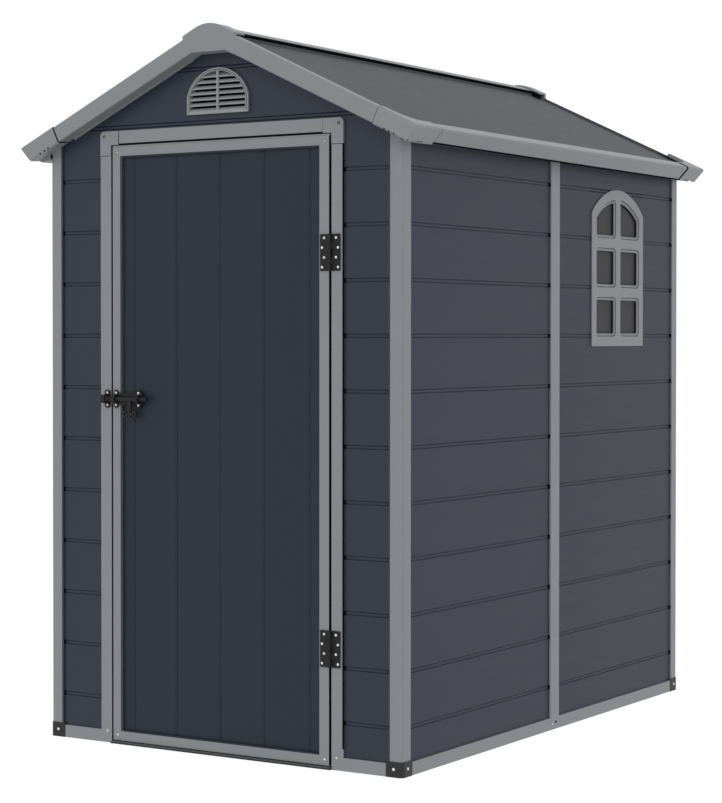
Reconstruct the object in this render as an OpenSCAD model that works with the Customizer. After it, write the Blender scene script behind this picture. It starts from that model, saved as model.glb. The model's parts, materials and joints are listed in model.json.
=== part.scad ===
// Gabled board shed with a hinged door, a bolt latch, a window and gable vents.
// Millimetres. X runs left to right seen from the front, the front faces -Y,
// Z is up, and the origin lies on the ground below the centre of the shed.

/* [Body] */
// Outer width across the corner posts
body_w = 1200; // [1100:10:1400]
// Outer depth across the corner posts
body_d = 1800; // [1600:10:2400]
// Thickness of a wall board
board_t = 18; // [14:1:24]
// Depth of the board face behind the post face
board_set = 5; // [4:0.5:8]
// Height of one wall board
board_pitch = 150; // [120:5:180]
// Height of the lowest board joint
first_joint = 130; // [100:5:160]
// Height of the shaped band at a board joint
joint_w = 12; // [8:1:16]
// Depth of the two notches at a board joint
joint_d = 3; // [2:0.5:5]
// Thickness of the inner flange of posts behind the boards
inner_t = 5; // [4:1:8]

/* [Base] */
// Height of the base rails
base_h = 36; // [30:1:45]
// Leg length of a base corner bracket
bracket_leg = 50; // [46:1:70]
// Height of a base corner bracket
bracket_h = 42; // [38:1:60]
// Stand-out of a base corner bracket
bracket_out = 2; // [1:0.5:4]
// Thickness of the floor panel
floor_t = 20; // [15:1:30]

/* [Posts] */
// Face width of a corner post
post_face = 44; // [38:1:50]
// Rounding of the outer corner of a corner post
post_r = 10; // [6:1:14]
// Face width of a middle post
mid_face = 56; // [48:1:70]
// Thickness of the web of a middle post
mid_web = 10; // [8:1:16]

/* [Doorway] */
// Width of the front beside the doorway, from the wall corner to the jamb edge
front_bay = 223.5; // [200:0.5:260]
// Height of the underside of the door header
doorway_h = 1730; // [1650:5:1800]
// Face width of a jamb
jamb_face = 38; // [34:1:45]
// Width of a jamb behind its face
jamb_core = 21; // [16:1:28]
// Height of the joint under the gable boards above the header
gable_rise = 10; // [6:1:14]
// Height of the header
header_h = 40; // [34:1:50]
// Reach of a frame corner piece along the header
corner_run = 65; // [55:1:80]
// Reach of a frame corner piece down the jamb
corner_drop = 70; // [58:1:90]
// Stand-out of a frame corner piece
corner_out = 1.5; // [1:0.5:3]
// Rounding of a frame corner piece
corner_r = 12; // [8:1:20]
// Reach of the door stop behind the door
stop_w = 14; // [11:1:20]
// Thickness of the door stop
stop_t = 6; // [5:1:10]
// Height of the threshold strip
sill_h = 4; // [3:0.5:5]
// Stand-out of the threshold strip
sill_out = 8; // [4:1:14]

/* [Door] */
// Gap round the door
door_gap = 6; // [5:0.5:8]
// Thickness of the door
door_t = 36; // [30:1:40]
// Face width of a door stile
stile_w = 33; // [28:1:40]
// Height of a door rail
rail_h = 31; // [26:1:40]
// Thickness of the door panel
panel_t = 22; // [16:1:24]
// Depth of the panel face behind the door face
panel_set = 7; // [5:1:9]
// Spacing of the upright joints of the door panel
panel_pitch = 150; // [120:5:155]
// Depth of an upright joint of the door panel
panel_joint = 1; // [0.5:0.1:2]

/* [Hinges] */
// Height of a hinge
hinge_h = 100; // [80:1:120]
// Height of the lower hinge above the door edge
hinge_low = 269; // [200:5:320]
// Distance of the upper hinge below the door top
hinge_top = 268; // [200:5:320]
// Reach of a hinge leaf from the pin
leaf_w = 32; // [28:1:36]
// Thickness of a hinge leaf
leaf_t = 3; // [2:0.5:4]
// Radius of a hinge pin
pin_r = 3; // [2.5:0.1:3.5]
// Radius of a hinge knuckle
knuckle_r = 6; // [5:0.1:6]
// Running clearance round pins and the bolt
run_clear = 0.08; // [0.05:0.01:0.1]
// Space between the knuckles and the wide part of a leaf
leaf_gap = 1; // [0.5:0.5:2]
// Gap between hinge knuckles
knuckle_gap = 0.6; // [0.4:0.1:1]

/* [Latch] */
// Height of the bolt axis
latch_z = 998; // [900:1:1100]
// Width of the latch plate
latch_w = 104; // [96:1:130]
// Height of the latch plate
latch_h = 52; // [44:1:60]
// Thickness of the latch plates
latch_t = 4; // [3:0.5:5]
// Radius of the bolt
bolt_r = 6; // [5:0.5:7]
// Distance of the bolt axis from the plate
bolt_out = 10; // [9:0.5:12]
// Distance of the latch plate from the door edge
latch_in = 5; // [3:0.5:8]
// Width of a bolt strap
strap_w = 12; // [8:1:14]
// Distance of a bolt strap from the plate end
strap_set = 4; // [3:0.5:6]
// Wall of a bolt strap
strap_wall = 5; // [4:0.5:7]
// Travel of the bolt
bolt_throw = 30; // [28:1:32]
// Reach of the drawn bolt past the near edge of the plate
bolt_tip = 8; // [6:0.5:8]
// Reach of the drawn bolt past the far edge of the plate
bolt_tail = 23.5; // [20:0.5:26]
// Radius of the screw lobes of the latch plate
lobe_r = 8.5; // [7:0.5:10]
// Distance of the far screw lobes from the plate end
lobe_in = 15; // [12:0.5:20]
// Drop of the handle rings below the bolt axis
handle_drop = 43; // [38:1:50]
// Distance between the handle rings
handle_span = 34; // [28:1:40]
// Space between the near strap and the handle
handle_gap = 3; // [2:0.5:5]
// Outer radius of a handle ring
ring_r = 9; // [7:0.5:10]
// Radius of the hole in a handle ring
ring_hole = 3.5; // [2.5:0.5:5]
// Width of the hanging handle
handle_w = 10; // [8:1:12]
// Clearance of the bolt in the keeper
keeper_clear = 1.5; // [1:0.1:2]
// Distance of the keeper from the jamb edge
keeper_set = 2; // [1:0.5:4]

/* [Window] */
// Width of the window frame
window_w = 375; // [320:5:420]
// Height of the window frame
window_h = 491; // [430:1:520]
// Distance of the window base below the roof skin at the wall
window_drop = 604; // [580:1:640]
// Radius of the window arch
window_r = 270; // [230:5:320]
// Stand-out of the window frame from the boards
window_out = 3; // [2:1:10]
// Face width of the window border and bars
bar_w = 30; // [24:1:34]
// Depth of the outer step in a pane opening
step_d = 5; // [3:1:7]
// Width of the inner lip in a pane opening
step_w = 10; // [6:1:12]
// Depth of the pane behind the inner lip
reveal_d = 6; // [4:0.5:8]
// Rounding of the pane openings
pane_r = 17; // [14:1:20]
// Rounding of the outer corners of the window frame
window_corner = 5; // [3:1:8]
// Wall of the window frame round the pane
pane_wall = 8; // [6:1:10]
// Thickness of the window pane
pane_t = 4; // [3:0.5:5]
// Lap of the window frame over the boards
window_lap = 12; // [8:1:16]

/* [Vents] */
// Space between the top of a vent and the roof peak above it
vent_clear = 40; // [30:1:50]
// Width of a gable vent over its height
vent_share = 1.625; // [1.4:0.025:1.8]
// Radius of the vent arch over its width
vent_arch = 0.524; // [0.51:0.002:0.58]
// Height of the vent base above the header
vent_rise = 32; // [25:1:45]
// Stand-out of a vent from the boards
vent_out = 8; // [6:1:10]
// Width of the vent rim
vent_rim = 9; // [8:1:14]
// Width of the upright bar of a vent
vent_bar = 7; // [5:1:9]
// Number of vent slats
vent_n = 7; // [5:1:8]
// Drop of the lip of a slat over the slat pitch
slat_drop = 0.15; // [0.1:0.05:0.25]

/* [Roof] */
// Pitch of the roof in degrees
roof_pitch = 25.4; // [22:0.2:28]
// Drop of the roof skin at the wall below the header top
roof_drop = 18.5; // [10:0.5:24]
// Thickness of a roof panel
roof_t = 18; // [14:1:22]
// Stand-out of the eave nose from the wall
eave_out = 68; // [60:1:80]
// Stand-out of the rake faces from the wall
rake_out = 47; // [42:1:70]
// Rise of the roof trims above the panels
trim_rise = 12.5; // [10:0.5:16]
// Rounding of the trim noses
nose_r = 5; // [4:0.5:6]
// Set-back of the panels behind the rake faces
rake_in = 13; // [12:1:18]
// Set-back of the panels behind the eave noses
eave_in = 28; // [24:1:34]
// Lap of the trims over the panels
trim_lap = 14; // [10:1:20]
// Drop of the soffit under the roof panel at the wall
soffit_drop = 33; // [26:1:40]
// Depth of the trims below the panel top
rake_low = 35.5; // [30:0.5:44]
// Rise of the rake soffits toward the wall
soffit_lift = 4; // [2:0.5:6]
// Lean of the eave faces below their noses in degrees
face_lean = 43.5; // [38:0.5:48]
// Rise of the rear rake trims above the panels
rear_rise = 4; // [3:0.5:5]
// Rise of the ribs along the front and rear edges of the panels
rib_rise = 7.5; // [7:0.5:10]
// Width of the ribs
rib_w = 6; // [4:0.5:8]
// Play round a roof panel in its trims
panel_play = 0.05; // [0.02:0.01:0.1]
// Reach of a front corner cap along the eave
cap_eave = 136; // [120:2:200]
// Reach of a rear corner cap along the eave
cap_eave_rear = 121; // [110:1:160]
// Reach of a corner cap up the rake
cap_rake = 131; // [120:1:160]
// Stand-out of a corner cap from the trims beside it
cap_out = 2.5; // [1.5:0.1:3]
// Rounding of the inner corner of a corner cap
cap_r = 60; // [40:5:70]
// Gap at the seams of the corner caps
seam_gap = 0.5; // [0.3:0.1:0.8]
// Half width of the roof peaks
peak_half = 87; // [75:1:110]
// Rise of the roof peaks above the roof trims
peak_rise = 9; // [7:0.5:11]
// Radius of the crown of the roof peaks
peak_r = 100; // [80:5:130]
// Thickness of the roof peaks over the ridge
peak_t = 5; // [4:0.5:6]
// Half width of the flat under the roof peaks
peak_flat = 57; // [40:1:65]
// Half width of the ridge cap
ridge_half = 57; // [50:1:70]
// Drop of the ridge cap below the roof peaks
ridge_drop = 5.5; // [5.2:0.1:6.5]
// Thickness of the ridge cap
ridge_t = 4; // [3:0.5:5]
// Width of the ridge beam
beam_w = 40; // [30:1:60]
// Height of the ridge beam
beam_h = 60; // [45:1:70]

/* [Hidden] */
$fn = 64;
eps = 1;
half_w = body_w / 2;
half_d = body_d / 2;
core = board_set + board_t + inner_t;
front_y = -half_d;
face_y = front_y + board_set;
back_y = face_y + board_t;
inside_y = front_y + core;
side_x = half_w - board_set;
inside_x = half_w - core;
jamb_x0 = half_w - front_bay;
jamb_x1 = jamb_x0 + jamb_face;
jamb_xc = jamb_x0 + jamb_core;
header_z = doorway_h + header_h;
gable_z = header_z + gable_rise;
stop_y = front_y + door_t + door_gap;
stop_end = stop_y + stop_t;
door_x = jamb_x0 - door_gap;
door_z0 = sill_h + door_gap;
door_z1 = doorway_h - door_gap;
pin_x = jamb_x0 - door_gap / 2;
pin_y = front_y - knuckle_r;
wall_z = header_z - roof_drop;
slope = tan(roof_pitch);
roof_z = wall_z + half_w * slope;
trim_v = trim_rise / cos(roof_pitch);
rake_y = -half_d - rake_out;
panel_y = rake_y + rake_in;
panel_x = half_w + eave_out - eave_in;
lip_y = panel_y + trim_lap;
lip_s = (panel_x - trim_lap) / cos(roof_pitch);
nose_x = half_w + eave_out - nose_r;
nose_z = trim_z(nose_x) - nose_r / cos(roof_pitch);
soffit_z = under_z(half_w) - soffit_drop;
seam_s = (half_w + eave_out) / cos(roof_pitch) - cap_rake;
cap_front_y = rake_y + cap_eave;
cap_rear_y = -rake_y - cap_eave_rear;
peak_zc = trim_z(0) + peak_rise - peak_r / cos(roof_pitch);
window_y = half_d / 2 + (mid_face / 2 - post_face) / 2;
window_z = wall_z - window_drop;
window_top = window_z + window_h;
window_face = side_x + window_out;
pane_x = window_face - step_d - reveal_d;
pane_w = (window_w - 3 * bar_w) / 2;
pane_h = (window_h - 4 * bar_w) / 3;
peak_low = roof_z - rake_low / cos(roof_pitch) - peak_flat * slope;
vent_z = header_z + vent_rise;
vent_top = peak_low - vent_clear;
vent_h = vent_top - vent_z;
vent_w = vent_h * vent_share;
vent_r = vent_w * vent_arch;
latch_x0 = -door_x + latch_in;
latch_y = front_y - latch_t - bolt_out;
joint_n = ceil((roof_z - first_joint) / board_pitch);
joint_zs = [for (i = [0 : joint_n - 1]) first_joint + i * board_pitch];
panel_n = floor((door_x - stile_w) / panel_pitch);
panel_xs = [for (i = [-panel_n : panel_n]) i * panel_pitch];
trim_grey = [0.5, 0.52, 0.54];
board_grey = [0.2, 0.22, 0.26];
door_grey = [0.17, 0.19, 0.23];
roof_grey = [0.38, 0.38, 0.4];
hardware_black = [0.09, 0.09, 0.09];
bracket_black = [0.15, 0.15, 0.15];
pane_grey = [0.28, 0.28, 0.3];
vent_grey = [0.62, 0.64, 0.66];

// Heights of the roof skin, its underside and the top of the trims
function skin_z(x) = roof_z - abs(x) * slope;
function under_z(x) = skin_z(x) - roof_t / cos(roof_pitch);
function trim_z(x) = skin_z(x) + trim_v;

// Point of the right slope in X and Z, from its run down the slope and its height above the skin
function slope_at(s, n) = [
    s * cos(roof_pitch) + n * sin(roof_pitch),
    roof_z - s * sin(roof_pitch) + n * cos(roof_pitch)
];

// Height of a point in X and Z above the skin of the right slope, square to it
function skin_off(p) = p[0] * sin(roof_pitch) + (p[1] - roof_z) * cos(roof_pitch);

// Points in X and Z where the leaning eave face leaves its nose and where it ends, swollen by a margin
function lean_at(g) = [
    nose_x + (nose_r + g) * cos(face_lean),
    nose_z - (nose_r + g) * sin(face_lean)
];
function low_at(g) = lean_at(g)
    - (skin_off(lean_at(g)) + rake_low + g) / cos(face_lean - roof_pitch) * [sin(face_lean), cos(face_lean)];

// Points of one board joint, as depth behind the face and position along it
function joint_at(g) = [
    [0, g - joint_w / 2],
    [joint_d, g - joint_w * 3 / 8],
    [joint_d / 3, g - joint_w / 4],
    [joint_d / 3, g + joint_w / 4],
    [joint_d, g + joint_w * 3 / 8],
    [0, g + joint_w / 2]
];

// Points of one upright joint of the door panel, as position along it and depth
function upright_at(g) = [
    [g - joint_w / 2, 0],
    [g + joint_w / 4, panel_joint],
    [g + joint_w / 2, 0]
];

module slab(x0, x1, y0, y1, z0, z1) {
    translate([x0, y0, z0])
        cube([x1 - x0, y1 - y0, z1 - z0]);
}

// Section in Y and Z carried along X
module along_x(x0, x1) {
    translate([x0, 0, 0])
        rotate([90, 0, 90])
            linear_extrude(x1 - x0)
                children();
}

// Section in X and Z carried along Y
module along_y(y0, y1) {
    translate([0, y1, 0])
        rotate([90, 0, 0])
            linear_extrude(y1 - y0)
                children();
}

module both_x() {
    children();
    mirror([1, 0, 0])
        children();
}

module both_y() {
    children();
    mirror([0, 1, 0])
        children();
}

module both_x_flat() {
    children();
    mirror([1, 0])
        children();
}

// Places a plan drawn inward from a wall corner at all four corners
module four_corners() {
    both_x()
        both_y()
            translate([-half_w, -half_d, 0])
                children();
}

// Everything below the roof panels
module below_roof() {
    reach = half_w + eave_out;
    along_y(-half_d - rake_out, half_d + rake_out)
        polygon([
            [-reach, 0],
            [reach, 0],
            [reach, under_z(reach) - panel_play],
            [0, under_z(0) - panel_play],
            [-reach, under_z(reach) - panel_play]
        ]);
}

// Section of a board wall with its face at one line and its depth to one side
module board_section(face, into) {
    bands = [for (g = joint_zs) for (p = joint_at(g)) [face + into * p[0], p[1]]];
    top = roof_z + joint_w;
    polygon(concat(
        [[face + into * board_t, base_h], [face, base_h]],
        bands,
        [[face, top], [face + into * board_t, top]]
    ));
}

module front_sheet() {
    intersection() {
        along_x(-inside_x, inside_x)
            board_section(face_y, 1);
        below_roof();
    }
}

module side_sheet(y0, y1) {
    intersection() {
        along_y(y0, y1)
            board_section(side_x, -1);
        below_roof();
    }
}

// Quarter plane with a rounded corner
module rounded_quarter(r, reach) {
    translate([r, 0])
        square([reach, reach + r]);
    translate([0, r])
        square([reach + r, reach]);
    translate([r, r])
        circle(r);
}

module ell(leg, t, r) {
    intersection() {
        union() {
            square([leg, t]);
            square([t, leg]);
        }
        rounded_quarter(r, leg);
    }
}

module rounded_rect(w, h, r) {
    translate([r, 0])
        square([w - 2 * r, h]);
    translate([0, r])
        square([w, h - 2 * r]);
    for (x = [r, w - r])
        for (y = [r, h - r])
            translate([x, y])
                circle(r);
}

module base_rails() {
    color(trim_grey) {
        both_x()
            slab(inside_x, half_w, -half_d + bracket_leg, half_d - bracket_leg, 0, base_h);
        both_x()
            slab(jamb_x1, half_w - bracket_leg, front_y, inside_y, 0, base_h);
        slab(bracket_leg - half_w, half_w - bracket_leg, -inside_y, half_d, 0, base_h);
    }
}

module base_brackets() {
    color(bracket_black)
        four_corners() {
            linear_extrude(base_h)
                translate([-bracket_out, -bracket_out])
                    ell(bracket_leg + bracket_out, core + bracket_out, post_r + bracket_out);
            linear_extrude(bracket_h)
                difference() {
                    translate([-bracket_out, -bracket_out])
                        ell(bracket_leg + bracket_out, core, post_r + bracket_out);
                    rounded_quarter(post_r, body_w);
                }
        }
}

module floor_panel() {
    color(bracket_black)
        difference() {
            slab(-inside_x, inside_x, inside_y, -inside_y, 0, floor_t);
            slab(-jamb_xc, jamb_xc, inside_y - eps, stop_end, -eps, floor_t + eps);
        }
}

module threshold() {
    color(bracket_black)
        slab(-jamb_x0, jamb_x0, front_y - sill_out, stop_end, 0, sill_h);
}

module corner_posts() {
    color(trim_grey)
        intersection() {
            four_corners()
                translate([0, 0, base_h])
                    linear_extrude(roof_z) {
                        ell(post_face, board_set, post_r);
                        intersection() {
                            square([core, core]);
                            rounded_quarter(post_r, core);
                        }
                    }
            below_roof();
        }
}

module mid_posts() {
    color(trim_grey)
        both_x()
            intersection() {
                union() {
                    slab(side_x, half_w, -mid_face / 2, mid_face / 2, base_h, roof_z);
                    slab(inside_x, half_w, -mid_web / 2, mid_web / 2, base_h, roof_z);
                    slab(inside_x, inside_x + inner_t, -mid_face / 2, mid_face / 2, base_h, roof_z);
                }
                below_roof();
            }
}

module wall_left_front() {
    color(board_grey)
        mirror([1, 0, 0])
            side_sheet(inside_y, -mid_web / 2);
}

module wall_left_rear() {
    color(board_grey)
        mirror([1, 0, 0])
            side_sheet(mid_web / 2, -inside_y);
}

module wall_right_front() {
    color(board_grey)
        side_sheet(inside_y, -mid_web / 2);
}

module wall_right_rear() {
    color(board_grey)
        difference() {
            side_sheet(mid_web / 2, -inside_y);
            along_x(inside_x, half_w)
                window_outline(window_lap);
        }
}

module rear_wall() {
    color(board_grey)
        mirror([0, 1, 0])
            difference() {
                front_sheet();
                along_y(front_y, inside_y)
                    vent_outline(vent_rim / 2);
            }
}

module front_wall_left() {
    color(board_grey)
        intersection() {
            front_sheet();
            slab(-half_w, -jamb_xc, front_y, inside_y, 0, gable_z);
        }
}

module front_wall_right() {
    color(board_grey)
        intersection() {
            front_sheet();
            slab(jamb_xc, half_w, front_y, inside_y, 0, gable_z);
        }
}

module front_gable() {
    color(board_grey)
        difference() {
            intersection() {
                front_sheet();
                union() {
                    slab(-half_w, half_w, front_y, inside_y, gable_z, roof_z);
                    slab(-jamb_xc, jamb_xc, front_y, inside_y, header_z, gable_z);
                }
            }
            along_y(front_y, inside_y)
                vent_outline(vent_rim / 2);
        }
}

module door_jambs() {
    color(trim_grey)
        both_x() {
            slab(jamb_x0, jamb_x1, front_y, face_y, 0, header_z - corner_drop);
            slab(jamb_x0, jamb_xc, face_y, stop_end, 0, doorway_h);
            slab(jamb_x0 - stop_w, jamb_x0, stop_y, stop_end, sill_h, doorway_h);
        }
}

module door_header() {
    run = jamb_x1 - corner_run;
    lip = jamb_x0 - stop_w;
    color(trim_grey) {
        slab(-run, run, front_y, face_y, doorway_h, header_z);
        slab(-jamb_xc, jamb_xc, face_y, stop_end, doorway_h, header_z);
        slab(-lip, lip, stop_y, stop_end, doorway_h - stop_w, doorway_h);
    }
}

module door_frame_corners() {
    color(trim_grey)
        both_x()
            along_y(front_y - corner_out, face_y)
                translate([jamb_x1, header_z])
                    rotate(180)
                        intersection() {
                            union() {
                                square([corner_run, header_h]);
                                square([jamb_face, corner_drop]);
                            }
                            rounded_quarter(corner_r, corner_drop);
                        }
}

module door_stiles() {
    color(trim_grey)
        both_x()
            slab(door_x - stile_w, door_x, front_y, front_y + door_t, door_z0, door_z1);
}

module door_rails() {
    inner = door_x - stile_w;
    color(trim_grey) {
        slab(-inner, inner, front_y, front_y + door_t, door_z1 - rail_h, door_z1);
        slab(-inner, inner, front_y, front_y + door_t, door_z0, door_z0 + rail_h);
    }
}

// Door panel with upright joints on both faces
module door_panel() {
    inner = door_x - stile_w;
    outside = front_y + panel_set;
    inside = outside + panel_t;
    up = [for (g = panel_xs) for (p = upright_at(g)) [p[0], outside + p[1]]];
    back = [for (g = panel_xs) for (p = upright_at(g)) [-p[0], inside - p[1]]];
    color(door_grey)
        translate([0, 0, door_z0 + rail_h])
            linear_extrude(door_z1 - door_z0 - 2 * rail_h)
                polygon(concat(
                    [[-inner, outside]],
                    up,
                    [[inner, outside], [inner, inside]],
                    back,
                    [[-inner, inside]]
                ));
}

// One knuckle row of a hinge with its leaf to the +X side of the pin
module leaf_plate(segments, bore) {
    pitch = hinge_h / 5;
    difference() {
        union() {
            slab(knuckle_r + leaf_gap, leaf_w, knuckle_r - leaf_t, knuckle_r, 0, hinge_h);
            for (i = segments)
                translate([0, 0, i * pitch + knuckle_gap / 2]) {
                    cylinder(r = knuckle_r, h = pitch - knuckle_gap);
                    slab(0, knuckle_r + leaf_gap, knuckle_r - leaf_t, knuckle_r, 0, pitch - knuckle_gap);
                }
        }
        translate([0, 0, -eps])
            cylinder(r = bore, h = hinge_h + 2 * eps);
    }
}

module at_hinges() {
    for (z = [door_z0 + hinge_low, door_z1 - hinge_top - hinge_h])
        translate([pin_x, pin_y, z])
            children();
}

module hinge_frame_leaves() {
    color(hardware_black)
        at_hinges() {
            leaf_plate([0, 2, 4], pin_r);
            cylinder(r = pin_r, h = hinge_h);
        }
}

module hinge_door_leaves() {
    color(hardware_black)
        at_hinges()
            mirror([1, 0, 0])
                leaf_plate([1, 3], pin_r + run_clear);
}

// Strap round the bolt line, seated on a plate
module bolt_strap(x0, bore) {
    high = bore + strap_wall;
    difference() {
        union() {
            slab(x0, x0 + strap_w, latch_y, front_y - latch_t, latch_z - high, latch_z + high);
            translate([x0, latch_y, latch_z])
                rotate([0, 90, 0])
                    cylinder(r = high, h = strap_w);
        }
        translate([x0 - eps, latch_y, latch_z])
            rotate([0, 90, 0])
                cylinder(r = bore, h = strap_w + 2 * eps);
    }
}

// Latch plate in X and Z, a bar with four screw lobes
module plate_outline() {
    bar_h = latch_h - lobe_r * 2;
    translate([latch_x0, latch_z - bar_h / 2])
        rounded_rect(latch_w, bar_h, lobe_r);
    for (x = [latch_x0 + lobe_r, latch_x0 + latch_w - lobe_in])
        for (z = [lobe_r - latch_h / 2, latch_h / 2 - lobe_r])
            translate([x, latch_z + z])
                circle(lobe_r);
}

module latch_plate() {
    far = latch_x0 + latch_w;
    color(hardware_black) {
        along_y(front_y - latch_t, front_y)
            plate_outline();
        bolt_strap(latch_x0 + strap_set, bolt_r + run_clear);
        bolt_strap(far - strap_set - strap_w, bolt_r + run_clear);
    }
}

// Hanging handle in X and Z below the bolt axis, with a padlock ring at each side
module handle_outline() {
    difference() {
        union() {
            translate([-handle_w / 2, -handle_drop - ring_r])
                rounded_rect(handle_w, handle_drop + ring_r, handle_w / 3);
            translate([-handle_span / 2, -handle_drop - handle_w / 3])
                square([handle_span, handle_w * 2 / 3]);
            both_x_flat()
                translate([handle_span / 2, -handle_drop])
                    circle(ring_r);
        }
        both_x_flat()
            translate([handle_span / 2, -handle_drop])
                circle(ring_hole);
    }
}

// Bolt drawn back clear of the keeper, its handle hanging down
module latch_bolt() {
    handle_x = latch_x0 + bolt_throw + strap_set + strap_w + handle_gap + handle_span / 2;
    color(hardware_black) {
        translate([latch_x0 - bolt_tip, latch_y, latch_z])
            rotate([0, 90, 0])
                cylinder(r = bolt_r, h = bolt_tip + latch_w + bolt_tail);
        along_y(latch_y - bolt_r / 2, latch_y + bolt_r / 2)
            translate([handle_x, latch_z])
                handle_outline();
    }
}

// Staple of the keeper in Y and Z, square inside so that the bolt enters freely
module staple_outline() {
    bore = bolt_r + keeper_clear;
    high = bore + strap_wall;
    difference() {
        union() {
            translate([latch_y, latch_z - high])
                square([bolt_out, 2 * high]);
            translate([latch_y - high, latch_z - high])
                rounded_rect(high + bolt_out / 2, 2 * high, strap_wall);
        }
        translate([latch_y - bore, latch_z - bore])
            square([bore + bolt_out, 2 * bore]);
    }
}

module latch_keeper() {
    near = -jamb_x0 - keeper_set;
    wide = strap_w + 2 * strap_set;
    color(hardware_black) {
        along_y(front_y - latch_t, front_y)
            translate([near - wide, latch_z - latch_h / 2])
                rounded_rect(wide, latch_h, lobe_r);
        along_x(near - strap_set - strap_w, near - strap_set)
            staple_outline();
    }
}

// Arched outline of the window in Y and Z, drawn in by a margin
module window_outline(g) {
    translate([window_y, 0])
        intersection() {
            translate([g - window_w / 2, window_z + g])
                rounded_rect(window_w - 2 * g, window_h, window_corner);
            translate([0, window_top - window_r])
                union() {
                    circle(window_r - g);
                    translate([-window_w, window_r - window_h])
                        square([2 * window_w, window_h - window_r]);
                }
        }
}

// Six pane openings, the top ones following the arch
module pane_openings(g) {
    intersection() {
        for (i = [0, 1])
            for (k = [0 : 2])
                translate([
                    window_y - window_w / 2 + bar_w + i * (pane_w + bar_w) + g,
                    window_z + bar_w + k * (pane_h + bar_w) + g
                ])
                    rounded_rect(pane_w - 2 * g, pane_h - 2 * g, pane_r - g);
        window_outline(bar_w + g);
    }
}

module window_frame() {
    color(trim_grey)
        difference() {
            union() {
                along_x(side_x, window_face)
                    window_outline(0);
                along_x(inside_x, side_x)
                    window_outline(window_lap);
            }
            along_x(window_face - step_d, window_face + eps)
                pane_openings(0);
            along_x(inside_x - eps, window_face)
                pane_openings(step_w);
            along_x(inside_x - eps, pane_x)
                window_outline(window_lap + pane_wall);
        }
}

module window_pane() {
    color(pane_grey)
        along_x(pane_x - pane_t, pane_x)
            window_outline(window_lap + pane_wall);
}

// Arched outline of a gable vent in X and Z, drawn in by a margin
module vent_outline(g) {
    intersection() {
        translate([g - vent_w / 2, vent_z + g])
            square([vent_w - 2 * g, vent_h - 2 * g]);
        translate([0, vent_top - vent_r])
            union() {
                circle(vent_r - g);
                translate([-vent_w, vent_r - vent_h])
                    square([2 * vent_w, vent_h - vent_r]);
            }
    }
}

module vent_slats() {
    pitch = (vent_h - 2 * vent_rim) / vent_n;
    intersection() {
        for (i = [0 : vent_n - 1])
            along_x(-vent_w / 2, vent_w / 2)
                translate([face_y, vent_z + vent_rim + (i - slat_drop) * pitch])
                    polygon([
                        [-vent_out * 3 / 4, 0],
                        [board_t / 2, pitch * 3 / 4],
                        [board_t / 2, pitch],
                        [-vent_out * 3 / 4, pitch / 4]
                    ]);
        along_y(front_y - vent_out, inside_y)
            vent_outline(vent_rim - eps);
    }
}

module gable_vents() {
    color(vent_grey)
        both_y() {
            along_y(face_y - vent_out, face_y)
                difference() {
                    vent_outline(0);
                    vent_outline(vent_rim);
                }
            along_y(face_y, back_y)
                difference() {
                    vent_outline(vent_rim / 2);
                    vent_outline(vent_rim);
                }
            vent_slats();
            slab(-vent_bar / 2, vent_bar / 2, face_y - vent_out * 7 / 8, face_y - vent_out / 8,
                vent_z + vent_rim / 2, vent_top - vent_rim / 2);
        }
}

// Section of the right roof panel in X and Z, swollen by a play
module panel_section(g) {
    v = g / cos(roof_pitch);
    end_s = panel_x / cos(roof_pitch);
    polygon([
        [0, under_z(0) - v],
        [0, skin_z(0) + v],
        slope_at(end_s + g, g),
        slope_at(end_s + g, -roof_t - g)
    ]);
}

// Right roof panel, with a rib inside the rake trims along its front and rear edges
module roof_panel() {
    along_y(panel_y, -panel_y)
        panel_section(0);
    both_y()
        down_slope(peak_half / cos(roof_pitch) + rib_w, seam_s)
            translate([lip_y + panel_play, -eps])
                square([rib_w, rib_rise + eps]);
}

module roof_panel_right() {
    color(roof_grey)
        roof_panel();
}

module roof_panel_left() {
    color(roof_grey)
        mirror([1, 0, 0])
            roof_panel();
}

// Runs a section in Y and height along the slope of the right side
module down_slope(s0, s1) {
    translate([0, 0, roof_z])
        rotate([0, roof_pitch, 0])
            along_x(s0, s1)
                children();
}

// Outline of the eave trim in X and Z, swollen by a margin and filled in to a given X
module eave_outline(g, in_x, in_z) {
    polygon([
        [in_x, trim_z(in_x) + g / cos(roof_pitch)],
        [nose_x + (nose_r + g) * sin(roof_pitch), nose_z + (nose_r + g) * cos(roof_pitch)],
        [nose_x, nose_z],
        lean_at(g),
        low_at(g),
        [in_x, in_z]
    ]);
    translate([nose_x, nose_z])
        circle(nose_r + g);
}

// Eave trims: a lip over the panel, a rounded nose, a leaning face and a soffit
module eave_trims() {
    color(trim_grey)
        both_x()
            along_y(cap_front_y, cap_rear_y)
                difference() {
                    eave_outline(0, half_w, soffit_z);
                    panel_section(panel_play);
                    translate([0, skin_z(0)])
                        rotate(-roof_pitch)
                            translate([0, -eps])
                                square([lip_s, trim_rise * 2]);
                }
}

// Outline of the rake trim in Y and height above the skin, swollen by a margin
module rake_outline(g, rise) {
    core_y = rake_y + nose_r;
    polygon([
        [face_y, rise + g],
        [core_y, rise + g],
        [core_y, rise - nose_r],
        [rake_y - g, rise - nose_r],
        [rake_y - g, nose_r - rake_low],
        [core_y, nose_r - rake_low],
        [core_y, -rake_low - g],
        [face_y, soffit_lift - rake_low - g]
    ]);
    for (n = [rise - nose_r, nose_r - rake_low])
        translate([core_y, n])
            circle(nose_r + g);
}

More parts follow.
